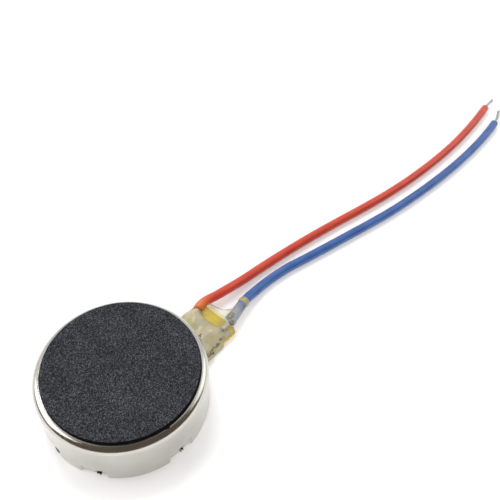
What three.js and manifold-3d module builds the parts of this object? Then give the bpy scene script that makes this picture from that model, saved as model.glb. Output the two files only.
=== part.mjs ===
// Coin vibration motor, 10 mm across: a flat brushed motor with an off-centre rotor in a drawn
// steel case, a foam pad on top and two leads glued to the tab of its flexible circuit.
// Millimetres. The origin is on the underside of the base plate, on the rotor's axis.
// +Z runs up along the axis, and +X points out along the tab and the leads.

import * as THREE from 'three';
import { mergeVertices } from 'three/addons/utils/BufferGeometryUtils.js';
import Module from 'manifold-3d';

const wasm = await Module();
wasm.setup();

// Case
const CASE_RADIUS = 5.0;
const CASE_HEIGHT = 3.4;
const CASE_WALL = 0.2;
const CASE_CORNER = 0.35;
const TAB_OPENING_WIDTH = 3.7;
const TAB_OPENING_HEIGHT = 0.62;
const CRIMP_ANGLES = [84, 136, 172, 208, 268];
const CRIMP_WIDTH = 1.1;
const CRIMP_SLIT = 0.28;
const CRIMP_SLIT_HEIGHT = 0.55;
const CRIMP_REACH = 4.35;
const CRIMP_THICKNESS = 0.1;

// Pad on top of the case
const PAD_RADIUS = 4.58;
const PAD_OFFSET_Y = -0.06;
const ADHESIVE = [3.405, 3.445];
const FOAM = [3.45, 3.68];

// Base plate, flexible circuit and magnet
const PLATE_THICKNESS = 0.2;
const PLATE_RADIUS = 4.78;
const COLLAR_RADIUS = 0.8;
const COLLAR_TOP = 1.1;
const TONGUE_WIDTH = 3.0;
const TONGUE_END = 7.3;
const FLEX = [0.205, 0.32];
const FLEX_RADIUS = 4.5;
const FLEX_TAB_WIDTH = 3.45;
const FLEX_TAB_END = 8.0;
const MAGNET = [0.33, 1.13];
const MAGNET_OUTER = 4.4;
const MAGNET_INNER = 2.25;

// Shaft, bearing and washers
const SHAFT_RADIUS = 0.4;
const SHAFT = [0.105, 3.17];
const BEARING = [1.25, 3.03];
const BEARING_OUTER = 0.75;
const BEARING_BORE = 0.44;
const LOWER_WASHER = [1.11, 1.23];
const UPPER_WASHER = [3.05, 3.18];
const WASHER_OUTER = 0.78;

// Rotor
const ROTOR_RADIUS = 4.35;
const ROTOR_HUB = 2.1;
const ROTOR_HALF_ANGLE = 98;
const BOARD = [1.5, 1.7];
const SEGMENT = [1.455, 1.49];
const SEGMENT_COUNT = 6;
const COIL = [1.72, 2.62];
const COIL_ANGLE = 57;
const WEIGHT = [1.72, 2.95];
const WEIGHT_HALF_ANGLE = 20;
const RESIN = [1.71, 2.8];

// Brushes
const BRUSH_WIDTH = 0.45;
const BRUSH_THICKNESS = 0.08;
const BRUSH_OFFSET = 1.38;

// Leads
const LEAD_RADIUS = 0.33;
const CONDUCTOR_RADIUS = 0.13;
const LYING = 0.335;
const GLUE_WIDTH = 3.4;
const FIT_GAP = 0.02;

const SOLDER_PADS = [
  { name: 'red', x: 6.6, y: 0.85 },
  { name: 'blue', x: 6.6, y: -0.85 },
];

const RED_ROUTE = [
  [6.68, 0.9, 0.6], [7.1, 1.12, 0.63], [7.6, 1.3, 0.66], [8.15, 1.3, 0.66], [8.9, 1.12, 0.65],
  [9.8, 0.99, 0.59], [10.7, 0.89, 0.49], [11.6, 0.81, 0.4], [12.7, 0.71, LYING], [14.5, 0.47, LYING],
  [16.5, 0.16, LYING], [18.5, -0.2, LYING], [20.6, -0.62, LYING], [22.7, -1.07, LYING],
  [25.0, -1.52, LYING], [27.4, -1.89, LYING], [29.9, -2.15, LYING], [32.6, -2.31, LYING],
  [35.5, -2.32, LYING], [38.7, -2.12, LYING], [40.4, -1.93, LYING], [41.9, -1.74, LYING],
  [43.2, -1.68, LYING],
];
const BLUE_ROUTE = [
  [6.7, -0.92, 0.6], [7.2, -1.01, 0.63], [7.8, -1.04, 0.66], [8.5, -0.92, 0.66], [9.3, -0.72, 0.62],
  [10.3, -0.52, 0.54], [11.3, -0.47, 0.43], [12.5, -0.48, LYING], [14.3, -0.71, LYING],
  [16.1, -1.14, LYING], [18.1, -1.61, LYING], [20.1, -2.06, LYING], [22.2, -2.53, LYING],
  [24.4, -2.97, LYING], [26.7, -3.31, LYING], [29.2, -3.59, LYING], [31.8, -3.78, LYING],
  [34.7, -3.85, LYING], [37.8, -3.74, LYING], [40.3, -3.46, LYING], [41.2, -3.24, LYING],
  [42.1, -2.87, LYING],
];
// Where each insulation starts and ends, as millimetres along its route
const RED_INSULATION = [0.7, 35.5];
const BLUE_INSULATION = [1.4, 34.0];

const group = new THREE.Group();
group.name = 'coin_vibration_motor';

const COLOURS = {
  nickel: [0xc9c6be, 1, 0.35], steel: [0xb4b6b8, 1, 0.3], foam: [0x2b2d30, 0, 0.95],
  adhesive: [0xd8d4c0, 0, 0.5], polyimide: [0xc98f2c, 0, 0.4], magnet: [0x8d9094, 1, 0.45],
  copper: [0xb87333, 1, 0.35], gold: [0xd4af37, 1, 0.3], brass: [0xb5a05a, 1, 0.4],
  bronze: [0x8c6a3f, 1, 0.6], board: [0x2e5b36, 0, 0.55], tungsten: [0x70737a, 1, 0.5],
  resin: [0x1d2a24, 0, 0.6], washer: [0xe9e4d4, 0, 0.5], solder: [0xc2c4c6, 1, 0.3],
  glue: [0xd2c5a8, 0, 0.25], red: [0xc8392b, 0, 0.35], blue: [0x3f62b5, 0, 0.35],
  tin: [0xbfc1c4, 1, 0.35],
};

function add(name, slot, geometry) {
  const [color, metalness, roughness] = COLOURS[slot];
  const material = new THREE.MeshStandardMaterial({ name: slot, color, metalness, roughness });
  const mesh = new THREE.Mesh(geometry, material);
  mesh.name = name;
  group.add(mesh);
}

// Geometry to a solid for joining and cutting, and back again
function solid(geometry) {
  const bare = geometry.clone();
  bare.deleteAttribute('normal');
  bare.deleteAttribute('uv');
  const welded = mergeVertices(bare, 1e-4);
  return new wasm.Manifold(new wasm.Mesh({
    numProp: 3,
    vertProperties: Float32Array.from(welded.attributes.position.array),
    triVerts: Uint32Array.from(welded.index.array),
  }));
}

function geometryOf(body) {
  const mesh = body.getMesh();
  const geometry = new THREE.BufferGeometry();
  geometry.setAttribute('position', new THREE.BufferAttribute(Float32Array.from(mesh.vertProperties), 3));
  geometry.setIndex(new THREE.BufferAttribute(Uint32Array.from(mesh.triVerts), 1));
  geometry.computeVertexNormals();
  return geometry;
}

const radians = (degrees) => (degrees * Math.PI) / 180;

// A solid turned about Z from a closed profile of [radius, height] points
function turned(profile, sides = 48) {
  const points = profile.map(([radius, height]) => new THREE.Vector2(radius, height));
  return new THREE.LatheGeometry(points, sides).rotateX(Math.PI / 2);
}

function disc(radius, [bottom, top], sides = 48) {
  return turned([[0, bottom], [radius, bottom], [radius, top], [0, top]], sides);
}

function ring(inner, outer, [bottom, top], sides = 48) {
  return turned([[inner, bottom], [outer, bottom], [outer, top], [inner, top], [inner, bottom]], sides);
}

function plate(shape, [bottom, top], curveSegments = 12) {
  const options = { depth: top - bottom, bevelEnabled: false, curveSegments };
  return new THREE.ExtrudeGeometry(shape, options).translate(0, 0, bottom);
}

function box([x0, x1], [y0, y1], [z0, z1]) {
  const geometry = new THREE.BoxGeometry(x1 - x0, y1 - y0, z1 - z0);
  return geometry.translate((x0 + x1) / 2, (y0 + y1) / 2, (z0 + z1) / 2);
}

// Corners of a loop, each rounded by a short curve that starts `radius` away from it
function roundedLoop(corners, radius, Loop = THREE.Shape) {
  const loop = new Loop();
  const points = corners.map(([x, y]) => new THREE.Vector2(x, y));
  points.forEach((corner, i) => {
    const before = points[(i + points.length - 1) % points.length];
    const after = points[(i + 1) % points.length];
    const enter = before.clone().sub(corner).setLength(radius).add(corner);
    const leave = after.clone().sub(corner).setLength(radius).add(corner);
    if (i === 0) loop.moveTo(enter.x, enter.y);
    else loop.lineTo(enter.x, enter.y);
    loop.quadraticCurveTo(corner.x, corner.y, leave.x, leave.y);
  });
  loop.closePath();
  return loop;
}

function sector(inner, outer, from, to) {
  const shape = new THREE.Shape();
  shape.absarc(0, 0, outer, radians(from), radians(to), false);
  shape.absarc(0, 0, inner, radians(to), radians(from), true);
  shape.closePath();
  return shape;
}

// Outer half-moon with a smaller round hub behind it
function halfMoon(outer, hub, halfAngle) {
  const shape = new THREE.Shape();
  shape.absarc(0, 0, outer, radians(-halfAngle), radians(halfAngle), false);
  shape.absarc(0, 0, hub, radians(halfAngle), radians(360 - halfAngle), false);
  shape.closePath();
  return shape;
}

function circle(radius, Loop = THREE.Shape) {
  const loop = new Loop();
  loop.absarc(0, 0, radius, 0, 2 * Math.PI, false);
  return loop;
}

// ---- Case: a drawn cup, open below, with crimps round its rim ----
function caseBody() {
  const corner = (radius, height, size) => [0, 22.5, 45, 67.5, 90].map((a) => [
    radius - size + size * Math.cos(radians(a)),
    height - size + size * Math.sin(radians(a)),
  ]);
  const inner = CASE_RADIUS - CASE_WALL;
  const cup = turned([
    [inner, 0], [CASE_RADIUS, 0],
    ...corner(CASE_RADIUS, CASE_HEIGHT, CASE_CORNER),
    [0, CASE_HEIGHT], [0, CASE_HEIGHT - CASE_WALL],
    ...corner(inner, CASE_HEIGHT - CASE_WALL, CASE_CORNER - CASE_WALL).reverse(),
    [inner, 0],
  ], 96);
  let body = solid(cup);
  const half = TAB_OPENING_WIDTH / 2;
  body = body.subtract(solid(box([3, 6], [-half, half], [-1, TAB_OPENING_HEIGHT])));

  const tabSide = CRIMP_WIDTH / 2;
  for (const angle of CRIMP_ANGLES) {
    const turn = radians(angle);
    for (const side of [-1, 1]) {
      const near = side > 0 ? tabSide : -tabSide - CRIMP_SLIT;
      const slit = box([4.5, 5.5], [near, near + CRIMP_SLIT], [-1, CRIMP_SLIT_HEIGHT]);
      body = body.subtract(solid(slit.rotateZ(turn)));
    }
    const bend = box([-0.4, 0.4], [-tabSide - 0.1, tabSide + 0.1], [-0.4, 0.4]);
    bend.rotateY(radians(45)).translate(CASE_RADIUS + 0.4, 0, -0.05);
    body = body.subtract(solid(bend.rotateZ(turn)));
    const fold = box([CRIMP_REACH, inner + 0.05], [-tabSide, tabSide], [0, CRIMP_THICKNESS]);
    body = body.add(solid(fold.rotateZ(turn)));
  }
  return body;
}
const caseSolid = caseBody();
add('case', 'nickel', geometryOf(caseSolid));

// ---- Foam pad and the adhesive film under it ----
add('pad_adhesive', 'adhesive', disc(PAD_RADIUS, ADHESIVE, 96).translate(0, PAD_OFFSET_Y, 0));
add('foam_pad', 'foam', disc(PAD_RADIUS, FOAM, 96).translate(0, PAD_OFFSET_Y, 0));

// ---- Base plate: a disc with a tongue, and a blind collar that holds the shaft ----
function basePlate() {
  const half = TONGUE_WIDTH / 2;
  const tongue = roundedLoop([[3, -half], [TONGUE_END, -half], [TONGUE_END, half], [3, half]], 0.3);
  let body = solid(disc(PLATE_RADIUS, [0, PLATE_THICKNESS], 96));
  body = body.add(solid(plate(tongue, [0, PLATE_THICKNESS])));
  body = body.add(solid(disc(COLLAR_RADIUS, [0.1, COLLAR_TOP])));
  body = body.subtract(solid(disc(SHAFT_RADIUS + 0.005, [SHAFT[0] - 0.005, COLLAR_TOP + 1])));
  const side = CRIMP_WIDTH / 2 + 0.05;
  for (const angle of CRIMP_ANGLES) {
    const recess = box([CRIMP_REACH - 0.05, 6], [-side, side], [-1, CRIMP_THICKNESS + 0.01]);
    body = body.subtract(solid(recess.rotateZ(radians(angle))));
  }
  return body;
}
add('base_plate', 'steel', geometryOf(basePlate()));

add('shaft', 'steel', turned([
  [0, SHAFT[0]], [SHAFT_RADIUS, SHAFT[0]], [SHAFT_RADIUS, SHAFT[1] - 0.08],
  [SHAFT_RADIUS - 0.08, SHAFT[1]], [0, SHAFT[1]],
]));

// ---- Flexible circuit: a disc under the magnet and a tab that leaves the case ----
function flexCircuit() {
  const half = FLEX_TAB_WIDTH / 2;
  const corners = [[2, -half], [FLEX_TAB_END, -half], [FLEX_TAB_END, half], [2, half]];
  let body = solid(disc(FLEX_RADIUS, FLEX, 72)).add(solid(plate(roundedLoop(corners, 0.35), FLEX)));
  return body.subtract(solid(disc(COLLAR_RADIUS + FIT_GAP, [0, 1])));
}
add('flex_circuit', 'polyimide', geometryOf(flexCircuit()));

const COPPER = [FLEX[1] + 0.005, FLEX[1] + 0.04];
const padOutline = (x, y, grow) => roundedLoop([
  [x - 0.6 - grow, y - 0.6 - grow], [x + 0.6 + grow, y - 0.6 - grow],
  [x + 0.6 + grow, y + 0.6 + grow], [x - 0.6 - grow, y + 0.6 + grow],
], 0.15);
for (const { name, x, y } of SOLDER_PADS) {
  add(`copper_pad_${name}`, 'copper', plate(padOutline(x, y, 0), COPPER));
}

add('ring_magnet', 'magnet', ring(MAGNET_INNER, MAGNET_OUTER, MAGNET, 72));

// ---- Brushes: a foot on the circuit, a sloping leaf and a bowed tip under the commutator ----
function brush() {
  const low = FLEX[1] + 0.01 + BRUSH_THICKNESS / 2;
  const line = [[-1.45, low], [-0.85, low], [-0.7, low + 0.06], [0.15, 1.3], [0.3, 1.39],
    [0.42, 1.39], [0.55, 1.3]].map(([x, z]) => new THREE.Vector2(x, z));
  const side = (sign) => line.map((point, i) => {
    const ahead = line[Math.min(i + 1, line.length - 1)].clone();
    const along = ahead.sub(line[Math.max(i - 1, 0)]).normalize();
    const reach = (sign * BRUSH_THICKNESS) / 2;
    return new THREE.Vector2(point.x - along.y * reach, point.y + along.x * reach);
  });
  const shape = new THREE.Shape([...side(-1), ...side(1).reverse()]);
  const strip = new THREE.ExtrudeGeometry(shape, { depth: BRUSH_WIDTH, bevelEnabled: false });
  return strip.rotateX(Math.PI / 2).translate(0, BRUSH_OFFSET + BRUSH_WIDTH / 2, 0);
}
add('brush_positive', 'gold', brush());
add('brush_negative', 'gold', brush().rotateZ(Math.PI));

add('lower_washer', 'washer', ring(SHAFT_RADIUS + 0.03, WASHER_OUTER, LOWER_WASHER));
add('upper_washer', 'washer', ring(SHAFT_RADIUS + 0.03, WASHER_OUTER, UPPER_WASHER));

// ---- Rotor: board, commutator, coils, weight, bearing and the resin that binds them ----
add('bearing', 'bronze', turned([
  [BEARING_BORE, BEARING[0]], [BEARING_OUTER - 0.06, BEARING[0]], [BEARING_OUTER, BEARING[0] + 0.06],
  [BEARING_OUTER, BEARING[1] - 0.06], [BEARING_OUTER - 0.06, BEARING[1]], [BEARING_BORE, BEARING[1]],
  [BEARING_BORE, BEARING[0]],
]));

const boardOutline = halfMoon(ROTOR_RADIUS, ROTOR_HUB, ROTOR_HALF_ANGLE);
boardOutline.holes.push(circle(BEARING_OUTER + FIT_GAP, THREE.Path));
add('rotor_board', 'board', plate(boardOutline, BOARD, 24));

const segmentSpan = 360 / SEGMENT_COUNT;
for (let i = 0; i < SEGMENT_COUNT; i += 1) {
  const from = i * segmentSpan + 3;
  const outline = sector(0.92, 1.85, from, from + segmentSpan - 6);
  add(`commutator_segment_${i + 1}`, 'gold', plate(outline, SEGMENT, 8));
}

// A wound coil: a rounded trapezium with an open middle, its wide side towards the rim
function coil(angle, [bottom, top], grow) {
  const moved = (corners, by) => corners.map(([x, y]) => {
    const away = new THREE.Vector2(x - 2.7, y);
    away.setLength(away.length() + by);
    return [away.x + 2.7, away.y];
  });
  const outer = [[1.25, -0.6], [3.5, -1.95], [4.1, -0.75], [4.1, 0.75], [3.5, 1.95], [1.25, 0.6]];
  const middle = [[2.0, -0.28], [3.15, -1.0], [3.42, -0.4], [3.42, 0.4], [3.15, 1.0], [2.0, 0.28]];
  const shape = roundedLoop(moved(outer, grow), 0.32);
  shape.holes.push(roundedLoop(moved(middle, -grow), 0.16, THREE.Path));
  return plate(shape, [bottom, top], 6).rotateZ(radians(angle));
}
add('coil_1', 'copper', coil(COIL_ANGLE, COIL, 0));
add('coil_2', 'copper', coil(-COIL_ANGLE, COIL, 0));

const weightShape = (gap) => sector(2.6 - gap, ROTOR_RADIUS + gap * 5,
  -WEIGHT_HALF_ANGLE - gap * 20, WEIGHT_HALF_ANGLE + gap * 20);
add('counterweight', 'tungsten', plate(weightShape(0), WEIGHT, 16));

function resinBody() {
  let body = solid(plate(halfMoon(ROTOR_RADIUS, ROTOR_HUB, ROTOR_HALF_ANGLE), RESIN, 24));
  body = body.subtract(solid(disc(BEARING_OUTER + FIT_GAP, [1, 4])));
  body = body.subtract(solid(plate(weightShape(FIT_GAP), [1, 4], 16)));
  for (const angle of [COIL_ANGLE, -COIL_ANGLE]) {
    body = body.subtract(solid(coil(angle, [1, COIL[1] + FIT_GAP], FIT_GAP)));
  }
  return body;
}
add('rotor_resin', 'resin', geometryOf(resinBody()));

// ---- Leads: a conductor from the solder joint to its bare end, inside its insulation ----
class Stretch extends THREE.Curve {
  constructor(curve, from, to) {
    super();
    this.curve = curve;
    const length = curve.getLength();
    this.from = from / length;
    this.to = to / length;
  }

  getPoint(t, target = new THREE.Vector3()) {
    return this.curve.getPointAt(this.from + (this.to - this.from) * t, target);
  }
}

function routeCurve(points) {
  const curve = new THREE.CatmullRomCurve3(points.map((point) => new THREE.Vector3(...point)));
  curve.arcLengthDivisions = 2000;
  return curve;
}

function tube(curve, radius, sides, steps) {
  const shape = new THREE.Shape();
  for (let i = 0; i < sides; i += 1) {
    const a = radians((360 * (i + 0.5)) / sides);
    if (i === 0) shape.moveTo(radius * Math.cos(a), radius * Math.sin(a));
    else shape.lineTo(radius * Math.cos(a), radius * Math.sin(a));
  }
  shape.closePath();
  return new THREE.ExtrudeGeometry(shape, { steps, extrudePath: curve, bevelEnabled: false });
}

const leadHoles = [];
const conductorHoles = [];
function lead(name, route, [from, to]) {
  const whole = routeCurve(route);
  const covered = new Stretch(whole, from, to);
  add(`${name}_conductor`, 'tin', tube(whole, CONDUCTOR_RADIUS, 8, 34));
  const bore = solid(tube(whole, CONDUCTOR_RADIUS + FIT_GAP, 8, 34));
  const insulation = solid(tube(covered, LEAD_RADIUS, 8, 30)).subtract(bore);
  add(`${name}_insulation`, name, geometryOf(insulation));
  leadHoles.push(solid(tube(covered, LEAD_RADIUS + FIT_GAP, 8, 30)));
  conductorHoles.push(bore);
}
lead('red', RED_ROUTE, RED_INSULATION);
lead('blue', BLUE_ROUTE, BLUE_INSULATION);

// ---- Solder joints: a low dome on each copper pad, round the end of its conductor ----
function dome({ x, y }, grow) {
  const base = COPPER[1] + 0.01 - grow;
  const radius = 0.52 + grow;
  const height = 0.46 + 2 * grow;
  const curve = [0, 15, 30, 45, 60, 75].map((a) => [
    radius * Math.cos(radians(a)), base + height * Math.sin(radians(a)),
  ]);
  return turned([[0, base], ...curve, [0, base + height]], 24).translate(x, y, 0);
}
SOLDER_PADS.forEach((pad, i) => {
  add(`solder_joint_${pad.name}`, 'solder', geometryOf(solid(dome(pad, 0)).subtract(conductorHoles[i])));
});

// ---- Glue: poured over the tab and up the case wall, round the joints and the lead roots ----
function glueBlob() {
  const side = new THREE.Shape();
  side.moveTo(4.5, 0.2);
  side.lineTo(7.85, 0.2);
  side.bezierCurveTo(8.05, 0.55, 7.95, 0.9, 7.5, 1.0);
  side.bezierCurveTo(6.8, 1.05, 6.0, 1.05, 5.35, 1.25);
  side.bezierCurveTo(5.15, 1.33, 5.0, 1.5, 4.5, 1.55);
  side.closePath();
  const bevel = { bevelEnabled: true, bevelThickness: 0.35, bevelSize: 0.15, bevelSegments: 4 };
  const depth = GLUE_WIDTH - 2 * bevel.bevelThickness;
  const run = new THREE.ExtrudeGeometry(side, { depth, curveSegments: 8, ...bevel });
  run.rotateX(Math.PI / 2).translate(0, GLUE_WIDTH / 2 - bevel.bevelThickness, 0);
  let body = solid(run).intersect(solid(box([4, 9], [-3, 3], [FLEX[1] + 0.01, 3])));
  body = body.subtract(solid(disc(CASE_RADIUS + FIT_GAP, [0, 4], 96)));
  SOLDER_PADS.forEach((pad) => {
    body = body.subtract(solid(plate(padOutline(pad.x, pad.y, FIT_GAP), [0, COPPER[1] + FIT_GAP])));
    body = body.subtract(solid(dome(pad, FIT_GAP)));
  });
  for (const hole of [...leadHoles, ...conductorHoles]) body = body.subtract(hole);
  return body;
}
add('glue_blob', 'glue', geometryOf(glueBlob()));

export default group;
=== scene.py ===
import math
import random

import bmesh
import bpy
import numpy as np
from mathutils import Euler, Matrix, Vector, noise


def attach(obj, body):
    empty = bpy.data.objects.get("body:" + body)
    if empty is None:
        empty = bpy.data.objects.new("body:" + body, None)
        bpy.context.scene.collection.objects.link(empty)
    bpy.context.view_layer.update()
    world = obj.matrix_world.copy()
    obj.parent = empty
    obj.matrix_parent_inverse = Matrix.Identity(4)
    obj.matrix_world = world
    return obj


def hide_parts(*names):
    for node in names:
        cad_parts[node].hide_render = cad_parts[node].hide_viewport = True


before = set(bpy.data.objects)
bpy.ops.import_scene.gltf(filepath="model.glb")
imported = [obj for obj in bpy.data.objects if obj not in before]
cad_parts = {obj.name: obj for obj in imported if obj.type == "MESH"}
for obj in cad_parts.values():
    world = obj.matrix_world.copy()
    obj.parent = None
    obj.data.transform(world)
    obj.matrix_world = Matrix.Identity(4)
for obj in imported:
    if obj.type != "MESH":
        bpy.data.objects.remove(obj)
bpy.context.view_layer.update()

# Sizes in this script are millimetres, and become metres as each mesh is made.
MM = 0.001

# Leads. A route is the middle line from the solder joint to the bare tip, at the height LYING where the lead
# lies flat. The insulation covers the stretch of it between two distances along it.
LYING = 0.335
RED_ROUTE = [
    (6.68, 0.9, 0.6), (7.1, 1.12, 0.63), (7.6, 1.3, 0.66), (8.15, 1.3, 0.66), (8.9, 1.12, 0.65),
    (9.8, 0.99, 0.59), (10.7, 0.89, 0.49), (11.6, 0.81, 0.4), (12.7, 0.71, LYING), (14.5, 0.47, LYING),
    (16.5, 0.16, LYING), (18.5, -0.2, LYING), (20.6, -0.62, LYING), (22.7, -1.07, LYING),
    (25.0, -1.52, LYING), (27.4, -1.89, LYING), (29.9, -2.15, LYING), (32.6, -2.31, LYING),
    (35.5, -2.32, LYING), (38.7, -2.12, LYING), (40.4, -1.93, LYING), (41.9, -1.74, LYING),
    (43.2, -1.68, LYING),
]
BLUE_ROUTE = [
    (6.7, -0.92, 0.6), (7.2, -1.01, 0.63), (7.8, -1.04, 0.66), (8.5, -0.92, 0.66), (9.3, -0.72, 0.62),
    (10.3, -0.52, 0.54), (11.3, -0.47, 0.43), (12.5, -0.48, LYING), (14.3, -0.71, LYING),
    (16.1, -1.14, LYING), (18.1, -1.61, LYING), (20.1, -2.06, LYING), (22.2, -2.53, LYING),
    (24.4, -2.97, LYING), (26.7, -3.31, LYING), (29.2, -3.59, LYING), (31.8, -3.78, LYING),
    (34.7, -3.85, LYING), (37.8, -3.74, LYING), (40.3, -3.46, LYING), (41.2, -3.24, LYING),
    (42.1, -2.87, LYING),
]
RED_INSULATION = (0.7, 35.3)
BLUE_INSULATION = (1.4, 33.8)
LEAD_RADIUS = 0.33
BORE_RADIUS = 0.14
BORE_DEPTH = 0.6
LEAD_LIP = 0.015
STRAND_RADIUS = 0.04
STRAND_COUNT = 7
STRAND_PITCH = 2.6
STRAND_HIDDEN = 0.5

# Case. Angles are degrees round the rotor's axis, from +X towards +Y.
CASE_RADIUS = 5.0
CASE_HEIGHT = 3.4
CASE_WALL = 0.2
CASE_CORNER = 0.42
OPENING_HALF_WIDTH = 1.85
OPENING_TOP = 0.6

# Crimps: each is dented in from DENT_TOP down, bent in to the radius CRIMP_REACH, and torn at one angle.
CRIMP_ANGLES = (84, 136, 172, 208, 268)
CRIMP_WIDTH = 1.6
CRIMP_HEIGHT = 0.55
CRIMP_BEND = 0.32
CRIMP_REACH = 4.35
DENT_TOP = 0.95
DENT_DEPTH = 0.1
TEAR_ANGLES = (87, 139, 176.8, 211.2, 268.4)
TEAR_HALF_ANGLE = 1.9
TEAR_LENGTH = 0.6
# Size of the dark beads in each tear: painted shade, dark lumps set where the torn crimps lie in shade.
PAINTED_SHADE_BEADS_AMOUNTS = (0.8, 0.8, 2.0, 0.55, 0.4)

# Foam pad, with the place of the burr on its edge.
PAD_RADIUS = 4.58
PAD_OFFSET_Y = -0.06
PAD_BOTTOM = 3.45
PAD_TOP = 3.68
PAD_EDGE = 0.05
BURR_ANGLE = 262

# Glue: the gap it keeps from the case, how far to each side the tab lies below it, and the tab's face.
GLUE_GAP = 0.025
TAB_HALF_WIDTH = 1.74
TAB_FACE = 0.33

# Stained collar: where it starts along the blue lead, and its length.
COLLAR_START = 3.05
COLLAR_LENGTH = 0.4

# Specks of burnt flux on the glue: X, Y and size.
FLUX_SPECKS = (
    (5.93, -0.44, 0.09), (6.62, -1.46, 0.11), (6.3, -1.56, 0.10), (6.0, -1.64, 0.07),
    (5.8, -1.6, 0.13), (5.55, -1.66, 0.14), (5.25, -1.62, 0.17), (7.3, -1.15, 0.12),
)

# Floor: just under the part, and its reach to each side.
FLOOR_HEIGHT = -0.02
FLOOR_REACH = 900

# The room's two tones and the way its dark side lies, and the grey that the camera sees in its place.
ROOM_LIGHT = (1.0, 1.0, 0.99)
ROOM_DARK = (0.155, 0.124, 0.099)
ROOM_DARK_SIDE = (-0.70, -0.70, -0.12)
ROOM_TURNS_DARK = (-0.38, -0.12)
ROOM_STRENGTH = 0.85
BACKDROP = (0.5, 0.5, 0.5, 1)


# ---------------------------------------------------------------- camera
def make_camera():
    """The camera, from above the near left, with the leads running to the far right."""
    data = bpy.data.cameras.new("camera")
    data.lens = 46.8
    data.clip_start = 0.001
    data.clip_end = 5
    camera = bpy.data.objects.new("camera", data)
    bpy.context.scene.collection.objects.link(camera)
    place = Vector((-10.127, -17.54, 36.01))
    aim = Vector((14.049, 2.54, 0))
    camera.location = place * MM
    look = (aim - place).to_track_quat("-Z", "Y")
    roll = Euler((0, 0, math.radians(2.828))).to_quaternion()
    camera.rotation_euler = (look @ roll).to_euler()
    bpy.context.scene.camera = camera


make_camera()


# ---------------------------------------------------------------- mesh helpers
def add_mesh(name, points, faces):
    """A new, smoothly shaded object from points in millimetres."""
    mesh = bpy.data.meshes.new(name)
    mesh.from_pydata([Vector(p) * MM for p in points], [], faces)
    mesh.validate()
    mesh.update()
    mesh.polygons.foreach_set("use_smooth", [True] * len(mesh.polygons))
    obj = bpy.data.objects.new(name, mesh)
    bpy.context.scene.collection.objects.link(obj)
    return obj


def dress(obj, mat, body, node):
    """Gives a new piece its material and its body, and hides the CAD node it stands for."""
    obj.data.materials.clear()
    obj.data.materials.append(mat)
    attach(obj, body)
    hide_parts(node)


def apply_modifiers(obj):
    """Bakes an object's modifiers into its own mesh."""
    graph = bpy.context.evaluated_depsgraph_get()
    mesh = bpy.data.meshes.new_from_object(obj.evaluated_get(graph))
    obj.modifiers.clear()
    old = obj.data
    obj.data = mesh
    bpy.data.meshes.remove(old)


def face_outwards(obj):
    """Turns every face of a closed mesh outwards."""
    made = bmesh.new()
    made.from_mesh(obj.data)
    bmesh.ops.recalc_face_normals(made, faces=made.faces)
    made.to_mesh(obj.data)
    made.free()


def soften(obj, angle):
    """Smooth shading with edges sharper than the angle kept crisp."""
    obj.data.polygons.foreach_set("use_smooth", [True] * len(obj.data.polygons))
    obj.data.set_sharp_from_angle(angle=math.radians(angle))


# ---------------------------------------------------------------- curves
def route_points(route, step=0.05):
    """Points about a step apart along a centripetal Catmull-Rom curve through the route."""
    p = np.array([2 * np.array(route[0]) - route[1], *route, 2 * np.array(route[-1]) - route[-2]])
    fine = []
    for a, b, c, d in zip(p[:-3], p[1:-2], p[2:-1], p[3:]):
        ta, tb, tc = (math.sqrt(np.linalg.norm(v)) for v in (b - a, c - b, d - c))
        start = ((b - a) / ta - (c - a) / (ta + tb) + (c - b) / tb) * tb
        end = ((c - b) / tb - (d - b) / (tb + tc) + (d - c) / tc) * tb
        for t in np.linspace(0, 1, 40, endpoint=False):
            fine.append(
                (2 * t**3 - 3 * t**2 + 1) * b + (t**3 - 2 * t**2 + t) * start
                + (3 * t**2 - 2 * t**3) * c + (t**3 - t**2) * end
            )
    fine = np.array([*fine, p[-2]])
    along = np.concatenate([[0], np.cumsum(np.linalg.norm(np.diff(fine, axis=0), axis=1))])
    wanted = np.linspace(0, along[-1], int(along[-1] / step) + 1)
    return np.stack([np.interp(wanted, along, fine[:, i]) for i in range(3)], 1)


class Path:
    """A polyline with a steady frame carried along it."""

    def __init__(self, points):
        self.points = points
        gaps = np.linalg.norm(np.diff(points, axis=0), axis=1)
        self.along = np.concatenate([[0], np.cumsum(gaps)])
        self.length = self.along[-1]
        tangents = np.gradient(points, self.along, axis=0)
        tangents /= np.linalg.norm(tangents, axis=1)[:, None]
        side = np.cross(tangents[0], (0, 0, 1))
        sides = []
        for tangent in tangents:
            side = side - tangent * side.dot(tangent)
            side /= np.linalg.norm(side)
            sides.append(side)
        self.tangents = tangents
        self.sides = np.array(sides)
        self.ups = np.cross(self.sides, tangents)

    def at(self, s):
        """Centre, side and up at a distance along the path, past its ends too."""
        values = [
            np.array([np.interp(s, self.along, field[:, i]) for i in range(3)])
            for field in (self.points, self.sides, self.ups)
        ]
        over = s - min(max(s, 0), self.length)
        end = self.tangents[0] if over < 0 else self.tangents[-1]
        return values[0] + end * over, values[1], values[2]

    def stretch(self, start, end, count):
        return [self.at(s)[0] for s in np.linspace(start, end, count)]


def swept(path, rings, sides=20, wobble=None):
    """Points and faces of a closed tube: rings are (distance along, radius) pairs."""
    points, faces = [], []
    for s, radius in rings:
        centre, side, up = path.at(s)
        for k in range(sides):
            a = 2 * math.pi * k / sides
            r = radius * (1 + (wobble(s, a) if wobble else 0))
            points.append(centre + side * (r * math.cos(a)) + up * (r * math.sin(a)))
    for i in range(len(rings) - 1):
        for k in range(sides):
            n = (k + 1) % sides
            faces.append((i * sides + k, i * sides + n, (i + 1) * sides + n, (i + 1) * sides + k))
    faces.append(tuple(reversed(range(sides))))
    last = (len(rings) - 1) * sides
    faces.append(tuple(range(last, last + sides)))
    return points, faces


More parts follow.
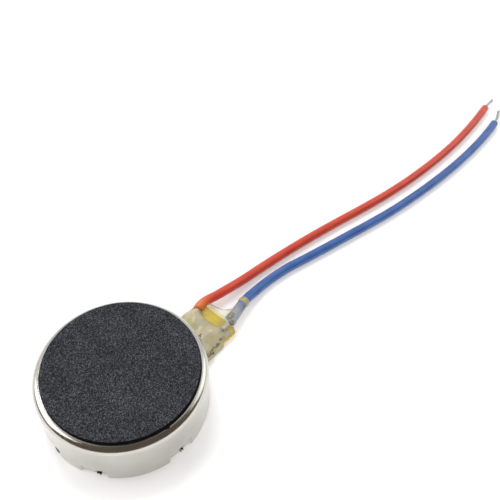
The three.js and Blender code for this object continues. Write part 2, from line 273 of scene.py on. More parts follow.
# ---------------------------------------------------------------- materials
class Material:
    """A node material built round one Principled shader, in the object's own millimetres."""

    def __init__(self, name, **values):
        self.data = bpy.data.materials.new(name)
        self.data.use_nodes = True
        self.nodes = self.data.node_tree.nodes
        self.links = self.data.node_tree.links
        self.shader = self.nodes["Principled BSDF"]
        for key, value in values.items():
            self.shader.inputs[key.replace("_", " ")].default_value = value
        where = self.nodes.new("ShaderNodeTexCoord").outputs["Object"]
        self.place = self.scaled(where, (1 / MM, 1 / MM, 1 / MM))

    def node(self, kind, settings=None, **inputs):
        """A new node with its settings, and with its inputs fed by name."""
        made = self.nodes.new(kind)
        for key, value in (settings or {}).items():
            setattr(made, key, value)
        for key, value in inputs.items():
            self.feed(made.inputs[key.replace("_", " ")], value)
        return made

    def feed(self, socket, value):
        """Links another node's output to the socket, or sets it to a plain value."""
        if isinstance(value, bpy.types.NodeSocket):
            self.links.new(value, socket)
        else:
            socket.default_value = value

    def scaled(self, vector, scale):
        return self.node("ShaderNodeMapping", Vector=vector, Scale=scale).outputs["Vector"]

    def noise(self, scale, detail=3, roughness=0.5, stretch=(1, 1, 1)):
        vector = self.place if stretch == (1, 1, 1) else self.scaled(self.place, stretch)
        made = self.node("ShaderNodeTexNoise", Vector=vector, Scale=scale, Detail=detail, Roughness=roughness)
        return made.outputs["Fac"]

    def math(self, operation, a, b=0.0, clamp=False):
        made = self.node("ShaderNodeMath", {"operation": operation, "use_clamp": clamp})
        self.feed(made.inputs[0], a)
        self.feed(made.inputs[1], b)
        return made.outputs[0]

    def ramp(self, value, *stops):
        """Colours, or greys given as numbers, at positions from 0 to 1."""
        made = self.node("ShaderNodeValToRGB", Fac=value)
        elements = made.color_ramp.elements
        while len(elements) < len(stops):
            elements.new(0.5)
        for element, (position, colour) in zip(elements, stops):
            element.position = position
            grey = isinstance(colour, (int, float))
            element.color = (colour, colour, colour, 1) if grey else (*colour, 1)
        return made.outputs["Color"]

    def mix(self, factor, a, b):
        """Two colours mixed. A Mix node keeps its colours in inputs 6 and 7 and in output 2."""
        made = self.node("ShaderNodeMix", {"data_type": "RGBA"})
        self.feed(made.inputs[0], factor)
        for socket, value in ((made.inputs[6], a), (made.inputs[7], b)):
            self.feed(socket, value if isinstance(value, bpy.types.NodeSocket) else (*value, 1))
        return made.outputs[2]

    def axis(self, name):
        return self.node("ShaderNodeSeparateXYZ", Vector=self.place).outputs[name]

    def use(self, **sockets):
        for key, value in sockets.items():
            self.feed(self.shader.inputs[key.replace("_", " ")], value)
        return self

    def bump(self, height, depth, strength=1.0):
        """Depth is how high, in millimetres, the full range of the height stands."""
        made = self.node("ShaderNodeBump", Height=height, Strength=strength, Distance=depth * MM)
        self.use(Normal=made.outputs["Normal"])
        return self


def nickel_material():
    m = Material("nickel", Metallic=1.0)
    cloud = m.noise(0.6, 4)
    lines = m.noise(5, 2, stretch=(1, 1, 0.1))
    grain = m.noise(30, 2)
    m.use(Base_Color=m.ramp(cloud, (0.25, (0.525, 0.512, 0.466)), (0.75, (0.595, 0.582, 0.540))))
    m.use(Roughness=m.ramp(lines, (0.25, 0.14), (0.75, 0.24)))
    mixed = m.math("ADD", m.math("MULTIPLY", lines, 0.5), m.math("MULTIPLY", grain, 0.5))
    return m.bump(mixed, 0.002, 0.5).data


def steel_material():
    m = Material("steel", Metallic=1.0)
    lines = m.noise(6, 4, stretch=(0.12, 1, 1))
    m.use(Base_Color=m.ramp(lines, (0.3, (0.52, 0.52, 0.52)), (0.7, (0.66, 0.66, 0.65))))
    m.use(Roughness=m.ramp(m.noise(2, 4), (0.3, 0.22), (0.7, 0.4)))
    return m.bump(lines, 0.004, 0.4).data


def foam_material():
    m = Material("foam", Specular_IOR_Level=0.08)
    fine = m.noise(18, 2, 0.6)
    cells = m.node("ShaderNodeTexVoronoi", Vector=m.place, Scale=19.0).outputs["Color"]
    grains = m.node("ShaderNodeRGBToBW", Color=cells).outputs["Val"]
    cloud = m.noise(0.5, 2)
    tone = m.math("ADD", m.math("MULTIPLY", fine, 0.6), m.math("MULTIPLY", grains, 0.3))
    tone = m.math("ADD", tone, m.math("MULTIPLY", cloud, 0.1))
    top = m.ramp(
        tone, (0.36, (0.007, 0.008, 0.010)), (0.47, (0.021, 0.022, 0.027)),
        (0.55, (0.040, 0.042, 0.049)), (0.66, (0.115, 0.118, 0.134)),
    )
    # Painted shade: the cut side and a thin ring at the outer edge of the top are painted near-black for the
    # shade that falls there.
    low, high = PAD_TOP - 0.03, PAD_TOP - 0.012
    level = m.math("DIVIDE", m.math("SUBTRACT", m.axis("Z"), low), high - low, clamp=True)
    flat = m.scaled(m.place, (1, 1, 0))
    radius = m.node("ShaderNodeVectorMath", {"operation": "LENGTH"}, Vector=flat).outputs["Value"]
    inside = m.math("MULTIPLY", m.math("SUBTRACT", PAD_RADIUS - 0.01, radius), 30, clamp=True)
    m.use(Base_Color=m.mix(m.math("MULTIPLY", level, inside), (0.002, 0.002, 0.002), top))
    m.use(Roughness=m.ramp(fine, (0.3, 0.75), (0.7, 0.95)))
    height = m.math("ADD", m.math("MULTIPLY", fine, 0.7), m.math("MULTIPLY", grains, 0.3))
    return m.bump(height, 0.03, 0.6).data


def adhesive_material():
    m = Material("adhesive", Roughness=0.35, Specular_IOR_Level=0.4)
    m.use(Base_Color=m.ramp(m.noise(3, 3), (0.3, (0.010, 0.010, 0.012)), (0.7, (0.022, 0.022, 0.024))))
    return m.bump(m.noise(12, 2), 0.01, 0.4).data


def plastic_lead_material(name, dark, light, glued, glue_end):
    """Insulation: glued is its colour under the frosted glue, which ends at the X called glue_end."""
    m = Material(name, Specular_IOR_Level=0.3, Coat_Weight=0.35, Coat_Roughness=0.1)
    cloud = m.noise(0.9, 4)
    fine = m.noise(16, 3)
    clean = m.ramp(cloud, (0.3, dark), (0.7, light))
    past = m.math("ADD", m.math("SUBTRACT", m.axis("X"), glue_end), m.math("MULTIPLY", m.noise(1.6, 3), 0.6))
    m.use(Base_Color=m.mix(m.math("MULTIPLY", past, 1.6, clamp=True), glued, clean))
    m.use(Roughness=m.ramp(m.noise(3, 3), (0.3, 0.3), (0.7, 0.45)))
    m.use(Subsurface_Weight=0.15, Subsurface_Radius=(0.0004, 0.0002, 0.0002), Subsurface_Scale=1.0)
    height = m.math("ADD", m.math("MULTIPLY", cloud, 0.8), m.math("MULTIPLY", fine, 0.2))
    return m.bump(height, 0.02, 0.5).data


def tin_material():
    m = Material("tinned_strands", Metallic=1.0)
    m.use(Base_Color=m.ramp(m.noise(5, 3), (0.3, (0.42, 0.44, 0.43)), (0.7, (0.60, 0.62, 0.61))))
    m.use(Roughness=m.ramp(m.noise(9, 2), (0.3, 0.25), (0.7, 0.42)))
    return m.bump(m.noise(30, 2), 0.004, 0.5).data


def glue_material():
    m = Material("glue", Specular_IOR_Level=0.45, Coat_Weight=0.2, Coat_Roughness=0.15)
    cloud = m.noise(1.1, 4, 0.6)
    cream = m.ramp(cloud, (0.3, (0.325, 0.285, 0.165)), (0.5, (0.42, 0.37, 0.225)), (0.7, (0.53, 0.46, 0.32)))
    greenish = m.mix(m.ramp(m.noise(0.8, 3), (0.48, 0.0), (0.62, 0.75)), cream, (0.40, 0.40, 0.17))
    grey = m.ramp(m.noise(1.7, 3, stretch=(1, 0.8, 1)), (0.5, 0.0), (0.66, 0.7))
    m.use(Base_Color=m.mix(grey, greenish, (0.38, 0.365, 0.30)))
    m.use(Roughness=m.ramp(m.noise(2.5, 3), (0.3, 0.28), (0.7, 0.5)))
    m.use(Subsurface_Weight=0.4, Subsurface_Radius=(0.0006, 0.0005, 0.0003), Subsurface_Scale=1.0)
    return m.bump(m.noise(2.2, 3), 0.03, 0.5).data


def residue_material():
    m = Material("flux_residue", Specular_IOR_Level=0.5, Coat_Weight=0.5, Coat_Roughness=0.15)
    m.use(Base_Color=m.ramp(m.noise(4, 3), (0.35, (0.045, 0.030, 0.012)), (0.65, (0.20, 0.15, 0.06))))
    m.use(Roughness=m.ramp(m.noise(7, 2), (0.3, 0.3), (0.7, 0.5)))
    return m.bump(m.noise(9, 3), 0.02, 0.6).data


def clear_glue_material():
    m = Material("clear_glue", Transmission_Weight=0.88, IOR=1.2, Specular_IOR_Level=0.25)
    clear = m.ramp(m.noise(1.6, 3), (0.3, (0.86, 0.85, 0.76)), (0.7, (0.96, 0.96, 0.93)))
    # Yellow over the polyimide tab, clear past its end and along its edge on the blue lead's side.
    past = m.math("ADD", m.math("SUBTRACT", m.axis("X"), 8.05), m.math("MULTIPLY", m.noise(2.2, 2), 0.3))
    beside = m.math("MULTIPLY", m.math("SUBTRACT", -0.45, m.axis("Y")), 5, clamp=True)
    untinted = m.math("MAXIMUM", m.math("MULTIPLY", past, 4, clamp=True), beside)
    m.use(Base_Color=m.mix(untinted, (0.90, 0.82, 0.27), clear))
    m.use(Roughness=m.ramp(m.noise(3, 2), (0.3, 0.1), (0.7, 0.24)))
    return m.bump(m.noise(1.5, 2), 0.02, 0.5).data


def polyimide_material():
    m = Material("polyimide", Specular_IOR_Level=0.4, Coat_Weight=0.1, Coat_Roughness=0.15)
    cloud = m.noise(1.2, 3)
    m.use(Base_Color=m.ramp(cloud, (0.3, (0.52, 0.36, 0.006)), (0.7, (0.66, 0.49, 0.014))))
    m.use(Roughness=m.ramp(m.noise(6, 2), (0.3, 0.22), (0.7, 0.36)))
    return m.bump(m.noise(9, 2), 0.01, 0.4).data


def metal_material(name, dark, light, roughness=(0.25, 0.4), scale=4, depth=0.005):
    m = Material(name, Metallic=1.0)
    m.use(Base_Color=m.ramp(m.noise(scale, 4), (0.3, dark), (0.7, light)))
    m.use(Roughness=m.ramp(m.noise(scale * 2, 3), (0.3, roughness[0]), (0.7, roughness[1])))
    return m.bump(m.noise(scale * 5, 3), depth, 0.6).data


def moulded_material(name, dark, light, roughness=(0.45, 0.65), scale=3, depth=0.01):
    m = Material(name, Specular_IOR_Level=0.5)
    m.use(Base_Color=m.ramp(m.noise(scale, 4), (0.3, dark), (0.7, light)))
    m.use(Roughness=m.ramp(m.noise(scale * 2, 3), (0.3, roughness[0]), (0.7, roughness[1])))
    return m.bump(m.noise(scale * 4, 3), depth, 0.6).data


def coil_material():
    m = Material("coil_wire", Metallic=1.0)
    bands = m.node(
        "ShaderNodeTexWave", {"wave_type": "BANDS", "bands_direction": "Z"},
        Vector=m.place, Scale=2.6, Distortion=0.6, Detail=2.0,
    ).outputs["Fac"]
    m.use(Base_Color=m.ramp(bands, (0.2, (0.30, 0.10, 0.03)), (0.8, (0.72, 0.33, 0.14))))
    m.use(Roughness=m.ramp(m.noise(5, 3), (0.3, 0.25), (0.7, 0.4)))
    return m.bump(bands, 0.03, 0.9).data


NICKEL = nickel_material()
STEEL = steel_material()
FOAM = foam_material()
RED = plastic_lead_material("red_pvc", (0.46, 0.042, 0.021), (0.56, 0.064, 0.032), (0.60, 0.15, 0.045), 8.1)
BLUE = plastic_lead_material("blue_pvc", (0.030, 0.088, 0.27), (0.048, 0.122, 0.35), (0.27, 0.32, 0.40), 9.2)
TIN = tin_material()
GLUE = glue_material()
CLEAR_GLUE = clear_glue_material()
RESIDUE = residue_material()
AMBER = moulded_material("amber_glue", (0.20, 0.15, 0.06), (0.42, 0.36, 0.18), (0.2, 0.4), 2.5, 0.02)
POLYIMIDE = polyimide_material()
# Near-black beads in the crimp tears: painted shade that stands for the dark inside the torn crimps.
PAINTED_SHADE_BEADS = moulded_material("painted_shade_beads", (0.006, 0.006, 0.006), (0.03, 0.028, 0.026), (0.35, 0.6), 4, 0.02)


# ---------------------------------------------------------------- leads
def lead(colour, route, insulated, material, seed):
    """One lead: its insulation, hollow at both ends, and the strands that show there. Gives back its path."""
    path = Path(route_points(route))
    start, end = insulated
    body = [(s, LEAD_RADIUS) for s in np.linspace(start + LEAD_LIP, end - LEAD_LIP, 150)]
    rings = [
        (start + BORE_DEPTH, BORE_RADIUS), (start, BORE_RADIUS), (start, LEAD_RADIUS - LEAD_LIP), *body,
        (end, LEAD_RADIUS - LEAD_LIP), (end, BORE_RADIUS), (end - BORE_DEPTH, BORE_RADIUS),
    ]

    def wobble(s, a):
        return 0.012 * noise.noise((s * 0.6, math.cos(a), math.sin(a) + seed)) - 0.012

    piece = add_mesh(f"{colour}_lead_insulation", *swept(path, rings, 24, wobble))
    for vertex in piece.data.vertices:
        vertex.co.z = max(vertex.co.z, 0.002 * MM)
    soften(piece, 50)
    strands = strand_bundle(colour, path, insulated, seed)
    dress(strands, TIN, "stator", f"{colour}_conductor")
    dress(piece, material, "stator", f"{colour}_insulation")
    return path


def strand_bundle(colour, path, insulated, seed):
    """Tinned strands twisted round one in the middle, at both ends of the insulation."""
    draw = random.Random(seed)
    points, faces = [], []
    start, end = insulated
    stretches = ((0.0, start + STRAND_HIDDEN, 12), (end - STRAND_HIDDEN, path.length, 22))
    for low, high, count in stretches:
        for k in range(STRAND_COUNT):
            turn = 0 if k == 0 else 2 * math.pi * k / (STRAND_COUNT - 1)
            away = 0 if k == 0 else 2.05 * STRAND_RADIUS
            spread = draw.uniform(0.0, 0.4)
            cut = draw.uniform(-0.16, -0.03) if high > end else 0
            line = []
            for s in np.linspace(low, high + cut, count):
                centre, side, up = path.at(s)
                a = turn + 2 * math.pi * s / STRAND_PITCH
                loose = 1 + spread * max(0, s - end) ** 2 * 0.35
                line.append(centre + (side * math.cos(a) + up * math.sin(a)) * away * loose)
            strand = Path(np.array(line))
            rings = [(s, STRAND_RADIUS) for s in np.linspace(0, strand.length, count)]
            made, sides = swept(strand, rings, 8)
            faces += [tuple(i + len(points) for i in face) for face in sides]
            points += made
    return add_mesh(f"{colour}_lead_strands", points, faces)


lead("red", RED_ROUTE, RED_INSULATION, RED, 3)
blue_path = lead("blue", BLUE_ROUTE, BLUE_INSULATION, BLUE, 8)


# ---------------------------------------------------------------- case
def case_piece():
    """The drawn cup: one skin with crimps bent in at its lower edge, each torn once, then given its wall."""
    columns = 300
    step = 0.05
    crimp_half = math.degrees(CRIMP_WIDTH / 2 / CASE_RADIUS)
    opening_half = math.degrees(math.asin(OPENING_HALF_WIDTH / CASE_RADIUS))

    def away(angle, others):
        return min(abs((angle - other + 180) % 360 - 180) for other in others)

    def kind(angle):
        if away(angle, CRIMP_ANGLES) <= crimp_half:
            return "crimp"
        return "opening" if away(angle, (0,)) < opening_half else "wall"

    def crimp_point(s):
        """Radius and height at a distance down the crimp from where it leaves the wall."""
        straight = CRIMP_HEIGHT - CRIMP_BEND
        if s < straight:
            return CASE_RADIUS, CRIMP_HEIGHT - s
        turned = min((s - straight) / CRIMP_BEND, math.pi / 2)
        over = s - straight - CRIMP_BEND * math.pi / 2
        radius = CASE_RADIUS - CRIMP_BEND + CRIMP_BEND * math.cos(turned)
        return radius - max(over, 0), CRIMP_BEND - CRIMP_BEND * math.sin(turned)

    crimp_length = (
        CRIMP_HEIGHT - CRIMP_BEND + CRIMP_BEND * math.pi / 2 + CASE_RADIUS - CRIMP_BEND - CRIMP_REACH
    )
    low_rows = [("low", s) for s in np.arange(crimp_length, 0.001, -step)]
    wall_rows = [("wall", z) for z in (CRIMP_HEIGHT, 0.62, 0.8, 1.1, 1.4, 1.7, 2.0, 2.3, 2.6, 2.85, 2.94)]
    arc_rows = [("arc", a) for a in np.linspace(0, 90, 15)]
    top_rows = [("top", r) for r in (4.5, 4.4, 4.0, 3.2, 2.2, 1.2, 0.5)]
    rows = low_rows + wall_rows + arc_rows + top_rows

    def place(row, angle):
        tag, value = row
        if tag == "low":
            if kind(angle) == "crimp":
                radius, height = crimp_point(value)
            else:
                radius, height = CASE_RADIUS, max(CRIMP_HEIGHT - value, 0)
        elif tag == "wall":
            radius, height = CASE_RADIUS, value
        elif tag == "arc":
            a = math.radians(value)
            radius = CASE_RADIUS - CASE_CORNER + CASE_CORNER * math.cos(a)
            height = CASE_HEIGHT - CASE_CORNER + CASE_CORNER * math.sin(a)
        else:
            radius, height = value, CASE_HEIGHT
        if tag in ("low", "wall") and height < DENT_TOP and kind(angle) == "crimp":
            radius -= DENT_DEPTH * min((DENT_TOP - height) / (DENT_TOP - CRIMP_HEIGHT), 1) ** 2
        a = math.radians(angle)
        drawn = 0.006 * noise.noise((math.cos(a) * 2.2, math.sin(a) * 2.2, height * 0.5)) - 0.006
        radius += drawn if radius > 4 else 0
        return radius * math.cos(a), radius * math.sin(a), height

    angles = [360 * j / columns for j in range(columns)]
    points = [place(row, angle) for row in rows for angle in angles]
    faces = []
    for i in range(len(rows) - 1):
        tag, value = rows[i]
        for j in range(columns):
            n = (j + 1) % columns
            kinds = {kind(angles[j]), kind(angles[n])}
            if tag == "low":
                torn = away(angles[j] + 180 / columns, TEAR_ANGLES) < TEAR_HALF_ANGLE and value < TEAR_LENGTH
                past_edge = value > CRIMP_HEIGHT + 0.001 or "opening" in kinds
                if torn or (past_edge and kinds != {"crimp"}):
                    continue
            if tag == "wall" and value < OPENING_TOP and "opening" in kinds:
                continue
            faces.append((i * columns + j, i * columns + n, (i + 1) * columns + n, (i + 1) * columns + j))
    centre = len(points)
    points.append((0, 0, CASE_HEIGHT))
    last = (len(rows) - 1) * columns
    faces += [(last + j, last + (j + 1) % columns, centre) for j in range(columns)]
    piece = add_mesh("case_shell", points, faces)
    drop_loose(piece)
    # Metal that is dented or bent in from the wall gets half the wall's thickness.
    bent_radius = 4.975
    folds = piece.vertex_groups.new(name="wall_thickness")
    for vertex in piece.data.vertices:
        bent = vertex.co.z < DENT_TOP * MM and vertex.co.xy.length < bent_radius * MM
        folds.add([vertex.index], 0.5 if bent else 1.0, "REPLACE")
    shell = piece.modifiers.new("wall", "SOLIDIFY")
    shell.thickness = CASE_WALL * MM
    shell.offset = -1
    shell.vertex_group = folds.name
    apply_modifiers(piece)
    for vertex in piece.data.vertices:
        vertex.co.z = max(vertex.co.z, 0)
    soften(piece, 40)
    dress(piece, NICKEL, "stator", "case")


def drop_loose(obj):
    """Deletes points that no face uses."""
    used = {v for polygon in obj.data.polygons for v in polygon.vertices}
    order = {old: new for new, old in enumerate(sorted(used))}
    points = [obj.data.vertices[i].co.copy() for i in sorted(used)]
    faces = [[order[v] for v in polygon.vertices] for polygon in obj.data.polygons]
    obj.data.clear_geometry()
    obj.data.from_pydata(points, [], faces)
    obj.data.update()


case_piece()


# ---------------------------------------------------------------- foam pad
def pad_piece():
    """A die-cut foam disc: a faintly uneven top, a rolled edge with one burr, a slightly pinched side."""
    columns = 240
    profile = [(r, PAD_TOP) for r in (0.3, 0.8, 1.4, 2.0, 2.6, 3.2, 3.7, 4.1, 4.35)]
    for a in (90, 65, 40, 15):
        profile.append((
            PAD_RADIUS - PAD_EDGE + PAD_EDGE * math.cos(math.radians(a)),
            PAD_TOP - PAD_EDGE + PAD_EDGE * math.sin(math.radians(a)),
        ))
    profile += [(PAD_RADIUS - 0.012, 3.56), (PAD_RADIUS - 0.004, 3.48), (PAD_RADIUS - 0.01, PAD_BOTTOM)]
    points, faces = [(0, PAD_OFFSET_Y, PAD_TOP - 0.004)], []
    for radius, height in profile:
        for j in range(columns):
            a = 2 * math.pi * j / columns
            direction = Vector((math.cos(a), math.sin(a), 0))
            torn = 0.014 * noise.noise(direction * 9 + Vector((0, 0, height * 3))) - 0.012
            off = math.degrees(a) - BURR_ANGLE
            burr = 0.12 * math.exp(-((off / 1.1) ** 2)) - 0.05 * math.exp(-(((off - 3) / 1.2) ** 2))
            r = radius
            # The edge wanders from the last flat ring outwards, and the burr is on the rolled edge alone.
            if radius > 4.3:
                r += torn + (burr if radius > 4.5 else 0)
            swell = 0.006 * noise.noise(Vector((r * math.cos(a), r * math.sin(a), 4)) * 1.4) - 0.006
            z = height + (swell if height > 3.6 else 0)
            points.append((r * math.cos(a), r * math.sin(a) + PAD_OFFSET_Y, z))
    for j in range(columns):
        faces.append((0, 1 + j, 1 + (j + 1) % columns))
    for i in range(len(profile) - 1):
        for j in range(columns):
            n = (j + 1) % columns
            a, b = 1 + i * columns, 1 + (i + 1) * columns
            faces.append((a + j, b + j, b + n, a + n))
    last = 1 + (len(profile) - 1) * columns
    faces.append(tuple(last + j for j in reversed(range(columns))))
    piece = add_mesh("foam_pad_disc", points, faces)
    soften(piece, 60)
    dress(piece, FOAM, "stator", "foam_pad")


pad_piece()


# ---------------------------------------------------------------- glue
def lump(centre, size, turn=0.0, steps=14):
    """Points and faces of an egg shape, from which cast() makes glue, flux and the dark beads of painted
    shade in the crimp tears.
    """
    points, faces = [], []
    for i in range(steps + 1):
        lat = math.pi * i / steps
        for j in range(2 * steps):
            lon = math.pi * j / steps
            x = size[0] * math.sin(lat) * math.cos(lon)
            y = size[1] * math.sin(lat) * math.sin(lon)
            points.append((
                centre[0] + x * math.cos(turn) - y * math.sin(turn),
                centre[1] + x * math.sin(turn) + y * math.cos(turn),
                centre[2] + size[2] * math.cos(lat),
            ))
    for i in range(steps):
        for j in range(2 * steps):
            n = (j + 1) % (2 * steps)
            a, b = i * 2 * steps, (i + 1) * 2 * steps
            faces.append((a + j, b + j, b + n, a + n))
    return points, faces


def slab(outline, bottom, top):
    """Points and faces of an upright prism."""
    count = len(outline)
    points = [(x, y, bottom) for x, y in outline] + [(x, y, top) for x, y in outline]
    faces = [tuple(reversed(range(count))), tuple(range(count, 2 * count))]
    faces += [(i, (i + 1) % count, count + (i + 1) % count, count + i) for i in range(count)]
    return points, faces


def cast(name, parts, voxel, rounds, trim):
    """One smooth skin round overlapping parts, trimmed by a rule that moves each point.

    The skin is made at 1000 times its size, which suits the remesher, and then brought down to size.
    """
    points, faces = [], []
    for made, sides in parts:
        faces += [tuple(i + len(points) for i in face) for face in sides]
        points += [tuple(p) for p in made]
    piece = add_mesh(name, [Vector(p) / MM for p in points], faces)
    remesh = piece.modifiers.new("skin", "REMESH")
    remesh.mode = "VOXEL"
    remesh.voxel_size = voxel
    smooth = piece.modifiers.new("smooth", "SMOOTH")
    smooth.factor = 0.5
    smooth.iterations = rounds
    apply_modifiers(piece)
    for vertex in piece.data.vertices:
        vertex.co = Vector(trim(*vertex.co)) * MM
    piece.data.update()
    soften(piece, 180)
    return piece


def off_the_wall(x, y, z, low):
    """Keeps a point of glue outside the case and above a height."""
    reach = math.hypot(x, y)
    wall = CASE_RADIUS + GLUE_GAP
    if reach < wall:
        x, y = x * wall / reach, y * wall / reach
    return x, y, max(z, low)


def eased(value, start, width):
    """Smoothly from 0 to 1 as the value goes from start to start + width."""
    t = min(max((value - start) / width, 0), 1)
    return t * t * (3 - 2 * t)


def cream_glue():
    """A domed bed of glue over the tab, climbing the case at one end and thinning to nothing at its edges."""
    rows, columns = 44, 60
    # Over each solder joint and lead root: X, Y, height and spread.
    mounds = (
        (6.55, 0.85, 0.38, 0.5), (6.55, -0.87, 0.36, 0.5),
        (7.1, 1.2, 0.75, 0.16), (7.2, -1.0, 0.30, 0.3),
    )

    def spot(i, j):
        """A point of the glue's top; i runs out from the case, j across the tab."""
        u, v = i / rows, 2 * j / columns - 1
        v = math.sin(v * math.pi / 2)
        half = 1.84 - (0.34 if v < 0 else 0.12) * eased(u, 0.62, 0.2)
        y = v * half - 0.03 + 0.04 * noise.noise((u * 4, v * 3, 1))
        start = math.sqrt((CASE_RADIUS + GLUE_GAP) ** 2 - y * y)
        end = 7.26 + 0.34 * (eased(-v, 0.35, 0.35) + eased(v, 0.45, 0.25))
        end += 0.07 * noise.noise((v * 3, 5, 2))
        x = start + (end - start) * u
        dome = (1 - v * v) ** 0.72 * (1 - u**7) ** 0.5
        climb = 0.72 * math.exp(-((u / 0.22) ** 2))
        bulk = sum(h * math.exp(-((x - a) ** 2 + (y - b) ** 2) / w) for a, b, h, w in mounds)
        rough = 0.04 * noise.noise((x * 1.3, y * 1.3, 7))
        return x, y, TAB_FACE + 0.005 + dome * (0.30 + climb + bulk + rough)

    tops = [spot(i, j) for i in range(rows + 1) for j in range(columns + 1)]
    points, faces = [], []
    for x, y, z in tops:
        past_tab = abs(y) - TAB_HALF_WIDTH
        points.append((x, y, z if past_tab < 0 else max(z - 0.2 * past_tab / 0.1, 0.08)))
    layer = len(points)
    for x, y, _ in tops:
        points.append((x, y, TAB_FACE if abs(y) < TAB_HALF_WIDTH else 0.05))
    wide = columns + 1
    for i in range(rows):
        for j in range(columns):
            a = i * wide + j
            faces.append((a, a + wide, a + wide + 1, a + 1))
            faces.append((layer + a, layer + a + 1, layer + a + wide + 1, layer + a + wide))
    border = [*range(columns)] + [i * wide + columns for i in range(rows)]
    border += [rows * wide + j for j in range(columns, 0, -1)] + [i * wide for i in range(rows, 0, -1)]
    for a, b in zip(border, border[1:] + border[:1]):
        faces.append((a, b, layer + b, layer + a))
    piece = add_mesh("cream_glue", points, faces)
    face_outwards(piece)
    dress(piece, GLUE, "stator", "glue_blob")


def clear_glue():
    """The clear skin over the end of the tab, webbed between the leads and drawn out along the blue one."""
    skin = [
        (6.9, -1.66), (7.85, -1.68), (8.0, -1.3), (8.15, -0.6),
        (8.2, 0.3), (8.3, 1.0), (8.1, 1.55), (6.9, 1.6),
    ]
    web = [
        (7.8, 1.25), (8.3, 0.95), (8.4, 0.5), (8.5, 0.1),
        (8.8, -0.2), (9.05, -0.35), (8.6, -0.85), (7.8, -0.95),
    ]
    parts = [slab(skin, 0.2, 0.62), slab(web, 0.24, 0.58)]
    first, last = 0.9, 3.1
    for s in np.linspace(first, last, 12):
        radius = 0.43 - 0.08 * (s - first) / (last - first)
        parts.append(lump(tuple(blue_path.at(s)[0]), (radius, radius, radius), steps=10))
    piece = cast("clear_glue", parts, 0.05, 22, lambda x, y, z: off_the_wall(x, y, z, 0.08))
    dress(piece, CLEAR_GLUE, "stator", "glue_blob")


def surface_height(piece, x, y):
    """Height of a piece's top at a place, looking straight down."""
    hit, where, _, _ = piece.ray_cast(Vector((x * MM, y * MM, 0.01)), Vector((0, 0, -1)))
    return where.z / MM if hit else TAB_FACE


def crimp_painted_shade_beads():
    """Dark beads of painted shade in the torn crimps: lumps set in the tears to stand for the shade inside
    them.
    """
    draw = random.Random(5)
    parts = []
    for angle, amount in zip(TEAR_ANGLES, PAINTED_SHADE_BEADS_AMOUNTS):
        for _ in range(4):
            a = math.radians(angle + draw.uniform(-1.1, 1.1))
            radius = CASE_RADIUS - 0.15 + draw.uniform(-0.03, 0.03)
            height = 0.3 + draw.uniform(-0.1, 0.14)
            wide, tall = draw.uniform(0.07, 0.12) * amount, draw.uniform(0.09, 0.15) * amount
            size = (draw.uniform(0.10, 0.14), wide, tall)
            parts.append(lump((radius * math.cos(a), radius * math.sin(a), height), size, a, steps=10))

    def inside_case(x, y, z):
        shrink = min((CASE_RADIUS - 0.015) / math.hypot(x, y), 1)
        return x * shrink, y * shrink, max(z, 0.02)

    piece = cast("crimp_painted_shade_beads", parts, 0.025, 3, inside_case)
    dress(piece, PAINTED_SHADE_BEADS, "stator", "case")


def flux_residue():
    """Burnt flux: dark specks on the glue, two spots on the blue lead, and a stained collar beyond them."""
    bpy.context.view_layer.update()
    cream = bpy.data.objects["cream_glue"]
    draw = random.Random(21)
    parts = []
    for x, y, size in FLUX_SPECKS:
        z = surface_height(cream, x, y)
        for _ in range(5):
            shift = [draw.uniform(-1, 1) * size for _ in range(2)]
            radii = [size * draw.uniform(0.35, 0.95) for _ in range(2)]
            parts.append(lump((x + shift[0], y + shift[1], z), (*radii, 0.045), draw.uniform(0, 3), steps=8))
    parts.append(lump((8.3, -0.92, 0.99), (0.3, 0.2, 0.05), 0.4, steps=10))
    parts.append(lump((7.98, -1.2, 0.72), (0.14, 0.2, 0.22), 0.3, steps=10))
    piece = cast("flux_residue", parts, 0.03, 2, lambda x, y, z: (x, y, max(z, 0.02)))
    dress(piece, RESIDUE, "stator", "glue_blob")

    def wander(s, a):
        return 0.05 * noise.noise((math.cos(a) * 1.5, math.sin(a) * 1.5, s * 4))

    swell = [
        (COLLAR_START + COLLAR_LENGTH * t, LEAD_RADIUS + 0.004 + 0.05 * math.sin(math.pi * t) ** 0.8)
        for t in np.linspace(0, 1, 14)
    ]
    sunk = LEAD_RADIUS - 0.1
    rings = [(COLLAR_START, sunk), *swell, (COLLAR_START + COLLAR_LENGTH, sunk)]
    collar = add_mesh("stained_collar", *swept(blue_path, rings, 28, wander))
    soften(collar, 60)
    dress(collar, AMBER, "stator", "glue_blob")


cream_glue()
clear_glue()
flux_residue()
crimp_painted_shade_beads()


